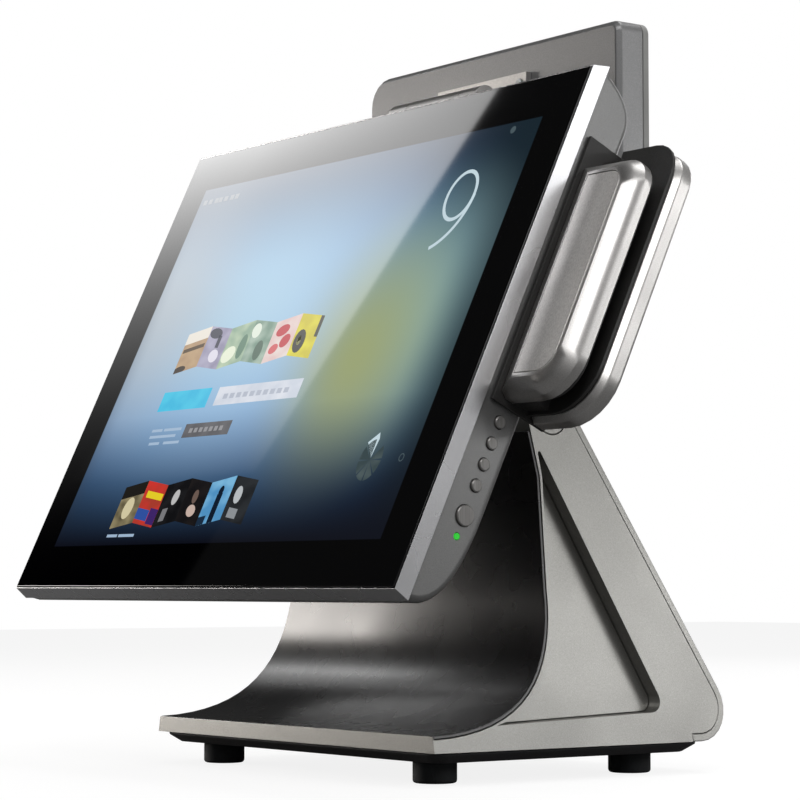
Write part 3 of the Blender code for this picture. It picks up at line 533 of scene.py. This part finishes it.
UPPER_TILES = (
    ("#b89c78", "#a5876a", (
        ("#e3ddd2", "bar", 0, 0.72, 1, 1),
        ("#54432f", "bar", 0.05, 0.5, 0.95, 0.6),
        ("#3b2f24", "disc", 0.2, 0.06, 0.28, 0.1),
    )),
    ("#a8a5bb", "#8d89a2", (
        ("#3d3f4e", "disc", 0.32, 0.84, 0.3, 0.13),
        ("#3d3f4e", "bar", 0.5, 0.5, 0.66, 0.8),
        ("#d9d6e2", "disc", 0.6, 0.3, 0.22, 0.16),
    )),
    ("#b2c4a8", "#86a28c", (
        ("#dfe6cf", "disc", 0.3, 0.3, 0.28, 0.2),
        ("#5e7f6b", "disc", 0.78, 0.4, 0.16, 0.3),
    )),
    ("#9fb3a4", "#6f8d7c", (
        ("#d9e2d4", "disc", 0.2, 0.75, 0.2, 0.18),
        ("#4b6455", "disc", 0.6, 0.3, 0.18, 0.24),
    )),
    ("#dccfc9", "#d6b9b6", (
        ("#b8323c", "disc", 0.4, 0.72, 0.26, 0.14),
        ("#b8323c", "disc", 0.66, 0.42, 0.2, 0.16),
        ("#c9575c", "disc", 0.28, 0.3, 0.18, 0.12),
    )),
    ("#d8cf1e", "#c3b71c", (
        ("#26241a", "disc", 0.3, 0.36, 0.24, 0.28),
        ("#8d8d5a", "disc", 0.28, 0.38, 0.09, 0.12),
        ("#2b2a1c", "bar", 0.86, 0.5, 1, 1),
    )),
)
LOWER_TILES = (
    ("#8f8464", "#4a4331", (
        ("#1c1a16", "bar", 0, 0.7, 1, 1),
        ("#cfc5a0", "disc", 0.5, 0.42, 0.22, 0.26),
    )),
    ("#c8342c", "#a43a2c", (
        ("#e0c926", "bar", 0.15, 0.62, 0.95, 0.78),
        ("#2f4f9c", "bar", 0, 0.1, 0.6, 0.36),
        ("#3d2466", "bar", 0.62, 0.05, 1, 0.42),
    )),
    ("#1d1d1f", "#101012", (
        ("#b9b9b9", "disc", 0.58, 0.62, 0.14, 0.18),
        ("#77777a", "bar", 0.2, 0.1, 0.42, 0.4),
    )),
    ("#131214", "#1d1a1a", (
        ("#c3ada2", "disc", 0.52, 0.3, 0.2, 0.14),
        ("#6a5850", "disc", 0.48, 0.62, 0.12, 0.16),
    )),
    ("#79b4d8", "#4f8fbe", (
        ("#101c2c", "bar", 0.44, 0.0, 0.66, 0.66),
        ("#101c2c", "disc", 0.55, 0.72, 0.1, 0.12),
        ("#1a2c40", "bar", 0.0, 0.0, 0.3, 0.2),
    )),
    ("#1c1e21", "#2a2d30", (
        ("#b5babd", "disc", 0.36, 0.6, 0.16, 0.2),
        ("#8a8f93", "bar", 0.2, 0.08, 0.6, 0.3),
    )),
)


def share_box(left, low, right, high):
    """The corners of a box in shares of the glass."""
    return [(left, low), (right, low), (right, high), (left, high)]


def lit_details():
    """What the till shows: two folded strips, two buttons, a field, a dial and a number."""
    folded_strip("upper_tile", 0.212, 0.582, 0.462, 0.552, 0.012, UPPER_TILES)
    folded_strip("lower_tile", 0.216, 0.582, 0.122, 0.212, 0.012, LOWER_TILES)
    ink_polygons("sale_button", [share_box(0.212, 0.378, 0.349, 0.421)],
                 screen_ink("cyan_key", "#2fb4da", "#3fc0e0"))
    ink_polygons("entry_field", [share_box(0.37, 0.38, 0.593, 0.42)],
                 screen_ink("white_field", "#d3d7e0", "#c3cad6"))
    ink_polygons("grey_button", [share_box(0.317, 0.314, 0.445, 0.344)],
                 screen_ink("grey_key", "#4c4c50", "#5c5c60"))
    dashes = [share_box(0.39 + 0.018 * k, 0.393, 0.402 + 0.018 * k, 0.404) for k in range(10)]
    ink_polygons("field_dashes", dashes, screen_ink("dash_light", "#aab1bf"), OVER)
    keys = [share_box(0.332 + 0.014 * k, 0.324, 0.341 + 0.014 * k, 0.334) for k in range(7)]
    ink_polygons("key_dashes", keys, screen_ink("key_dash_light", "#8d8d90"), OVER)
    rules = ((0.222, 0.332, 0.03), (0.257, 0.332, 0.05), (0.222, 0.318, 0.075), (0.228, 0.303, 0.03),
             (0.27, 0.303, 0.045), (0.218, 0.104, 0.03), (0.252, 0.104, 0.045))
    ink_polygons("small_labels", [share_box(u, v, u + wide, v + 0.006) for u, v, wide in rules],
                 screen_ink("faint_light", "#9db4cc"))
    bright = screen_ink("white_light", "#c3d6de")
    ring = arc_points((0.808, 0.771), (0.032, 0.05), -60, 300, 40)
    tail = arc_points((0.752, 0.777), (0.089, 0.117), -4, -72, 16)
    ink_polygons("queue_number", ribbon(ring, 0.006) + ribbon(tail, 0.006), bright)
    tools = (0.078, 0.094, 0.112, 0.124, 0.14, 0.158, 0.172)
    toolbar = [share_box(u, 0.872, u + 0.011, 0.884) for u in tools]
    ink_polygons("toolbar", toolbar, screen_ink("toolbar_light", "#83888e"))
    blades = [arc_points((0.838, 0.239), (0.026, 0.04), 87 - 45 * k, 48 - 45 * k, 4) + [(0.838, 0.239)]
              for k in range(1, 8)]
    ink_polygons("dial_blades", blades, screen_ink("dial_light", "#4f5c5e", "#39474a"))
    ink_polygons("dial_hand", [[(0.838, 0.244), (0.818, 0.274), (0.838, 0.292), (0.842, 0.28)]], bright)
    dot = arc_points((0.909, 0.24), (0.005, 0.007), 0, 360, 12)
    star = arc_points((0.874, 0.895), (0.006, 0.008), 0, 315, 7)
    ink_polygons("small_marks", ribbon(dot, 0.0016) + [star], screen_ink("dim_light", "#47565c"))


# ---- the customer's display ---------------------------------------------------
SEGMENTS = {  # the seven bars of a lit digit: (left, low, right, high) in shares of its box
    "a": (0.12, 0.92, 0.88, 1.0), "b": (0.88, 0.52, 1.0, 0.9), "c": (0.88, 0.1, 1.0, 0.48),
    "d": (0.12, 0.0, 0.88, 0.08), "e": (0.0, 0.1, 0.12, 0.48), "f": (0.0, 0.52, 0.12, 0.9),
    "g": (0.12, 0.46, 0.88, 0.54), "p": (0.0, 0.0, 0.14, 0.08),
}
DIGIT_TALL = 1.9                            # these are in widths of a digit
DIGIT_PITCH = 1.35
POINT_PITCH = 0.3
POINT_SHIFT = 0.12
# A row's text, its middle's height and its left end, in shares of the glass, and a digit's width.
PRICE_ROWS = (("128.45", 0.66, 0.2, 19 * MM), ("20480", 0.24, 0.46, 9 * MM))
DIGITS = {"1": "bc", "2": "abged", "4": "fgbc", "5": "afgcd", "8": "abcdefg", "0": "abcdef", ".": "p"}


def price_digits():
    """A price in lit bars behind the customer's glass; it faces the rear."""
    low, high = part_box("display_glass")
    front = high.y + INK
    bm = bmesh.new()
    for text, up, start, wide in PRICE_ROWS:
        tall = wide * DIGIT_TALL
        x = high.x - start * (high.x - low.x)
        z = low.z + up * (high.z - low.z) - tall / 2
        for digit in text:
            if digit == ".":
                x += wide * POINT_SHIFT
            for bar in DIGITS[digit]:
                left, base, right, top = SEGMENTS[bar]
                corners = ((left, base), (right, base), (right, top), (left, top))
                bm.faces.new([bm.verts.new((x - a * wide, front, z + b * tall)) for a, b in corners])
            x -= wide * (POINT_PITCH if digit == "." else DIGIT_PITCH)
    bmesh.ops.recalc_face_normals(bm, faces=bm.faces)
    piece = from_bmesh("price_digits", bm)
    finish_piece(piece, screen_ink("digit_light", "#cfe6ef"), "customer_display")


# ---- dressing the frame ------------------------------------------------------
PAINT = metallic_paint("warm_grey_metallic_paint", "#a3a29e", "#8c8b87", 0.35)
HOUSING = metallic_paint("dark_grey_metallic_paint", "#8c8c8b", "#787878", 0.4)
GLOSS = gloss_abs("gloss_black_abs", "#131112")
MATT = textured_abs("spark_textured_black_abs", "#232224", "#18181a")
CORE = textured_abs("dark_reader_abs", "#302f2e", "#242322")
RUBBER = moulded_rubber("nitrile_rubber")
SILVER = blasted_aluminium("satin_anodised_aluminium", "#cfcdcb", "#b9b7b5", 0.36)
BEZEL = blasted_aluminium("pale_anodised_aluminium", "#c4c4c6", "#b6b6b8", 0.27)
BRUSHED = brushed_aluminium("brushed_aluminium", "#dcd9d6", "#bdbab7")
STEEL = zinc_steel("zinc_plated_steel")
BOARD = solder_mask("green_solder_mask_board")
BACK = metallic_paint("graphite_metallic_paint", "#959595", "#838384", 0.45)
KNOB = brushed_aluminium("turned_button_metal", "#989694", "#7f7d7b")
TRIM = textured_abs("grey_painted_abs_trim", "#a6a6a4", "#8f8f8d", 0.5 * MM)
LENS = led_lens("green_led_lens")
TILL = printed_glass("till_touch_glass", PICTURE, cashier_picture)
SHOW = printed_glass("customer_display_glass", SHOWN, customer_picture)

# Frame nodes whose own mesh is right take a material through their slots.
KEPT = {
    MATT: ("lcd_panel", "speaker", "power_supply", "display_lcd", "power_inlet", "serial_port",
           "network_port", "usb_port", "display_port"),
    STEEL: ("stand_frame", "ballast_plate", "hinge_shaft", "hinge_cup_left", "hinge_cup_right",
            "chassis_plate", "connector_strip", "head_bracket", "bracket_screw_1", "bracket_screw_2",
            "bracket_screw_3", "bracket_screw_4", "reader_head", "display_pin"),
    SILVER: ("display_bracket", "display_arm", "heat_sink", "storage_drive"),
    KNOB: ("power_button", "menu_button_1", "menu_button_2", "menu_button_3", "menu_button_4"),
    BOARD: ("main_board", "button_board", "display_board"),
    LENS: ("status_led",),
}
# Mouldings with rounded edges: node, edge radius, material, body, slot.
ROUNDED = (
    ("stand_shell", 0.7, PAINT, "stand", "stand_paint"),
    ("side_panel_left", 0.6, PAINT, "stand", "stand_paint"),
    ("side_panel_right", 0.6, PAINT, "stand", "stand_paint"),
    ("rear_cover", 0.6, PAINT, "stand", "stand_paint"),
    ("hinge_cap_left", 0.5, PAINT, "stand", "stand_paint"),
    ("hinge_cap_right", 0.5, PAINT, "stand", "stand_paint"),
    ("front_cover", 0.5, GLOSS, "stand", "gloss_cover"),
    ("bottom_plate", 0.5, MATT, "stand", "black_plastic"),
    ("foot_front_left", 0.8, RUBBER, "stand", "foot_rubber"),
    ("foot_front_right", 0.8, RUBBER, "stand", "foot_rubber"),
    ("foot_rear_left", 0.8, RUBBER, "stand", "foot_rubber"),
    ("foot_rear_right", 0.8, RUBBER, "stand", "foot_rubber"),
    ("front_bezel", 0.7, BEZEL, "head", "silver_metal"),
    ("rear_housing", 0.6, HOUSING, "head", "housing_paint"),
    ("neck_cover", 0.8, MATT, "head", "black_plastic"),
    ("reader_front_shell", 0.7, SILVER, "head", "silver_metal"),
    ("reader_rear_shell", 0.7, SILVER, "head", "silver_metal"),
    ("reader_inset_plate", 0.5, BRUSHED, "head", "brushed_metal"),
    ("reader_core", 0.6, CORE, "head", "black_plastic"),
    ("display_back_cover", 0.8, BACK, "customer_display", "housing_paint"),
    ("display_bezel", 0.4, TRIM, "customer_display", "trim_plastic"),
)


def dress_frame():
    """Give the frame's nodes their materials, or stand softened copies in for them."""
    for material, names in KEPT.items():
        for name in names:
            for place in NODES[name].material_slots:
                place.material = material
    for name, radius, material, body, slot_name in ROUNDED:
        finish_piece(softened(name, radius * MM), material, body, (name,))
    till = softened("touch_glass", 0.4 * MM, 2)
    uv_on_glass(till, (-GLASS_WIDTH / 2, 0), (GLASS_WIDTH, GLASS_HEIGHT), PANEL)
    finish_piece(till, TILL, "head", ("touch_glass",))
    low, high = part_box("display_glass")
    show = softened("display_glass", 0.3 * MM, 2)
    uv_on_glass(show, (low.x, low.z), (high.x - low.x, high.z - low.z), UPRIGHT)
    finish_piece(show, SHOW, "customer_display", ("display_glass",))


HOUSING_BACK = 34.4 * MM                    # the housing's rear face, behind the glass's face
ARM_FACE = 3.8 * MM                         # the arm plate's face, in front of the arm's rear


def fasteners():
    """Pan-head screws on the head's back, the base's underside and the display's arm."""
    tree = screw_tree(STEEL)
    back = PANEL.to_3x3() @ Vector((0, 1, 0))
    places = ((-158, 62), (158, 62), (-158, 250), (158, 250), (-110, 188), (110, 188))
    spots = [PANEL @ Vector((x * MM, HOUSING_BACK, up * MM)) for x, up in places]
    screws("housing_screws", tree, spots, back, "head", STEEL)
    low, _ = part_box("bottom_plate")
    under = [(MIDDLE_X + x * MM, y * MM, low.z) for x in (-60, 60) for y in (-40, 24, 84)]
    screws("base_screws", tree, under, (0, 0, -1), "stand", STEEL)
    _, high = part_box("display_arm")
    rear = [(MIDDLE_X + x * MM, high.y - ARM_FACE, z * MM) for x in (-33, 33) for z in (343, 367)]
    screws("arm_screws", tree, rear, (0, -1, 0), "customer_display", STEEL, 2.0 * MM)


# ---- camera, light and floor ---------------------------------------------------
CAMERA_PLACE = Vector((1.11321, -0.83462, 0.0965))
CAMERA_TURN = math.radians(53.433)
CAMERA_PITCH = math.radians(3.972)
CAMERA_LENS = 119.69
# The soft lights: name, place, aim, width and height in metres, watts, colour.
WHITE = (1, 1, 1)
LIGHTS = (
    ("key", (1.2, -0.9, 1.5), (0.0, -0.02, 0.2), (0.7, 0.7), 9, WHITE),
    ("side_strip", (1.45, 1.32, 0.50), (0.05, 0.0, 0.12), (0.8, 0.22), 2.6, WHITE),
    ("bezel_light", (1.83, 0.78, 0.92), (0.15, -0.06, 0.2), (0.7, 0.4), 3.2, WHITE),
    ("left_fill", (-1.65, -0.78, 0.25), (-0.1, -0.06, 0.05), (0.5, 0.8), 15, (1.0, 0.95, 0.9)),
    ("left_top", (-1.6, -0.2, 1.05), (-0.05, 0.0, 0.05), (0.6, 0.6), 1.2, WHITE),
    ("top", (0.1, 0.5, 1.7), (0, 0, 0.2), (0.8, 0.8), 7, WHITE),
    ("rear_fill", (-0.6, 1.9, 0.7), (0, 0, 0.2), (0.9, 0.9), 6, WHITE),
)
# The glare card: the foot and head of its edge as mirrored in the glass, in shares of it.
EDGE_FOOT = (0.5645, 0.2416)
EDGE_HEAD = (0.797, 1.0)
CARD_LEFT = -0.9
CARD_LEVELS = (-0.15, 0.2, 0.5, 0.8, 1.1)
CARD_REACH = 1.2                            # metres from the glass, along the mirrored ray
CARD_FAR = (4.4, 9.0)                       # how steeply its left side fades downwards, and its glow
CARD_NEAR = (0.7, 3.0)                      # the same along its edge
SKY_AXIS = Vector((0.80, 0.25, 0.28)).normalized()     # the brighter side of the room
FLOOR_REACH = 4
FLOOR_LIFT = 0.86                           # how much whiter the floor looks than it lights


def make_camera():
    """The camera, low in front of the terminal's right corner."""
    lens = bpy.data.cameras.new("camera")
    lens.lens = CAMERA_LENS
    lens.sensor_width = 36.0
    made = placed("camera", lens)
    made.location = CAMERA_PLACE
    made.rotation_euler = (math.pi / 2 + CAMERA_PITCH, 0, CAMERA_TURN)
    bpy.context.scene.camera = made


def mirrored(u, v, reach):
    """Where the camera's ray to a point of the glass goes after it is reflected."""
    point = on_glass(u, v)
    ray = (point - CAMERA_PLACE).normalized()
    normal = PANEL.to_3x3() @ Vector((0, -1, 0))
    return point + (ray - 2 * ray.dot(normal) * normal) * reach


def card_edge(v):
    """How far across the glass the card's mirrored edge is at this height."""
    return EDGE_FOOT[0] + (EDGE_HEAD[0] - EDGE_FOOT[0]) * (v - EDGE_FOOT[1]) / (EDGE_HEAD[1] - EDGE_FOOT[1])


def card_light():
    """The card's glow, which fades downwards."""
    light = bpy.data.materials.new("soft_window")
    light.use_nodes = True
    tree = light.node_tree
    tree.nodes.clear()
    share = add(tree, "ShaderNodeUVMap", {"uv_map": "card"})
    split = add(tree, "ShaderNodeSeparateXYZ", None, Vector=share)
    steep = add(tree, MATHS, {"operation": "POWER"}, i0=split.outputs[1], i1=CARD_FAR[0])
    far = add(tree, MATHS, TIMES, i0=steep, i1=CARD_FAR[1])
    rise = add(tree, RANGE, None, Value=split.outputs[1], From_Min=0.3, From_Max=0.84)
    soft = add(tree, MATHS, {"operation": "POWER"}, i0=rise, i1=CARD_NEAR[0])
    near = add(tree, MATHS, TIMES, i0=soft, i1=CARD_NEAR[1])
    toward = add(tree, RANGE, None, Value=split.outputs[0], From_Min=0.6, From_Max=1.0)
    ramp = add(tree, MIX, OF_NUMBERS, i0=toward, i2=far, i3=near)
    shine = add(tree, "ShaderNodeEmission", None, Color=linear("#ffffff"), Strength=ramp)
    add(tree, "ShaderNodeOutputMaterial", None, Surface=shine)
    return light


def window_card():
    """A tall soft light whose straight edge is mirrored in the glass."""
    bm = bmesh.new()
    layer = bm.loops.layers.uv.new("card")
    rows = [[bm.verts.new(mirrored(u, v, CARD_REACH)) for u in (CARD_LEFT, card_edge(v))]
            for v in CARD_LEVELS]
    tall = CARD_LEVELS[-1] - CARD_LEVELS[0]
    for k in range(len(rows) - 1):
        (a, b), (c, d) = rows[k], rows[k + 1]
        panel = bm.faces.new((a, b, d, c))
        for loop, (across, level) in zip(panel.loops, ((0, k), (1, k), (1, k + 1), (0, k + 1))):
            loop[layer].uv = (across, (CARD_LEVELS[level] - CARD_LEVELS[0]) / tall)
    card = from_bmesh("window_card", bm)
    card.data.materials.append(card_light())
    card.visible_camera = False
    card.visible_diffuse = False
    card.visible_shadow = False


def white_room(scene):
    """A white room to the camera, which lights the model mostly from one side."""
    scene.world = bpy.data.worlds.new("studio")
    scene.world.use_nodes = True
    tree = scene.world.node_tree
    tree.nodes.clear()
    facing = add(tree, "ShaderNodeTexCoord").outputs["Generated"]
    toward = add(tree, VECTOR, {"operation": "DOT_PRODUCT"}, i0=facing, i1=SKY_AXIS)
    glow = add(tree, RANGE, None, Value=toward.outputs["Value"], From_Min=-0.55, From_Max=0.9,
               To_Min=0.03, To_Max=0.42)
    seen = add(tree, "ShaderNodeLightPath").outputs["Is Camera Ray"]
    level = add(tree, MIX, OF_NUMBERS, i0=seen, i2=glow, i3=1.0)
    sky = add(tree, "ShaderNodeBackground", None, Color=linear("#ffffff"), Strength=level)
    add(tree, "ShaderNodeOutputWorld", None, Surface=sky)


def soft_lights():
    """Rectangular soft lights, each turned to its aim."""
    for name, place, aim, size, power, colour in LIGHTS:
        lamp = bpy.data.lights.new(name, "AREA")
        lamp.shape = "RECTANGLE"
        lamp.size, lamp.size_y = size
        lamp.energy = power
        lamp.color = colour
        made = placed(name, lamp)
        made.location = place
        made.rotation_euler = (Vector(aim) - Vector(place)).to_track_quat("-Z", "Y").to_euler()


def pale_floor():
    """A plain floor that looks white and throws little light back."""
    reach = FLOOR_REACH
    mesh = bpy.data.meshes.new("floor")
    mesh.from_pydata([(-reach, -reach, 0), (reach, -reach, 0), (reach, reach, 0), (-reach, reach, 0)],
                     [], [(0, 1, 2, 3)])
    made, tree, shader, _ = blank("pale_floor", Base_Color=linear("#7c7c7c"), Roughness=0.85,
                                  Specular_IOR_Level=0.1, Emission_Color=linear("#ffffff"))
    seen = add(tree, "ShaderNodeLightPath").outputs["Is Camera Ray"]
    lift = add(tree, MATHS, TIMES, i0=seen, i1=FLOOR_LIFT)
    wire(tree, shader, Emission_Strength=lift)
    mesh.materials.append(made)
    placed("floor", mesh)


make_camera()
dress_frame()
lit_details()
price_digits()
fasteners()
window_card()
white_room(bpy.context.scene)
soft_lights()
pale_floor()
bpy.context.scene.view_settings.view_transform = "Standard"
